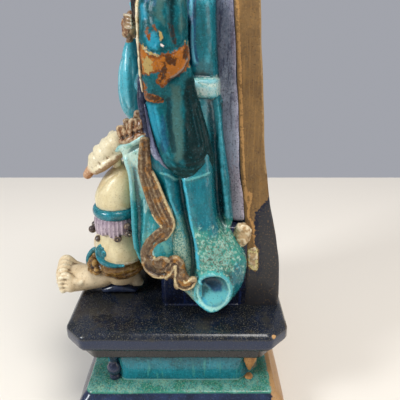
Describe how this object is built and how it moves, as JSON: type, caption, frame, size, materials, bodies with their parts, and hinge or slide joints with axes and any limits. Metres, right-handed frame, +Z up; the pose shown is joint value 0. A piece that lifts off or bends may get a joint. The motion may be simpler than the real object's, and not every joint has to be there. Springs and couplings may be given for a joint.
{
  "type": "stoneware daoist deity figure",
  "caption": "Glazed stoneware seated deity in hanging robes on a high-backed throne, fired in one piece with its stepped plinth; stands by its own weight.",
  "frame": {"origin": "on the surface it stands on, in the plinth's flat underside, under the centre of its top slab", "axes": "+Z up, -Y the way the figure faces, +X the figure's own left side"},
  "size_m": [0.258, 0.2361, 0.491],
  "materials": {
    "turquoise_glaze": "glossy lead-alkaline glaze, pale where thin on ridges, dark where it pools",
    "navy_glaze": "glossy cobalt glaze, worn near-black on the top faces",
    "aubergine_glaze": "thin streaky manganese glaze, greyish",
    "amber_glaze": "glossy iron-brown glaze, mottled ochre to dark brown",
    "cream_slip": "satin clear-glazed buff slip with pits and stains",
    "bare_stoneware": "unglazed buff to brown clay, wiped in vertical streaks",
    "dark_glaze": "black-brown glaze of the hair and beard"
  },
  "bodies": {
    "root": {"deity_on_throne": "turquoise_glaze"}
  },
  "joints": []
}
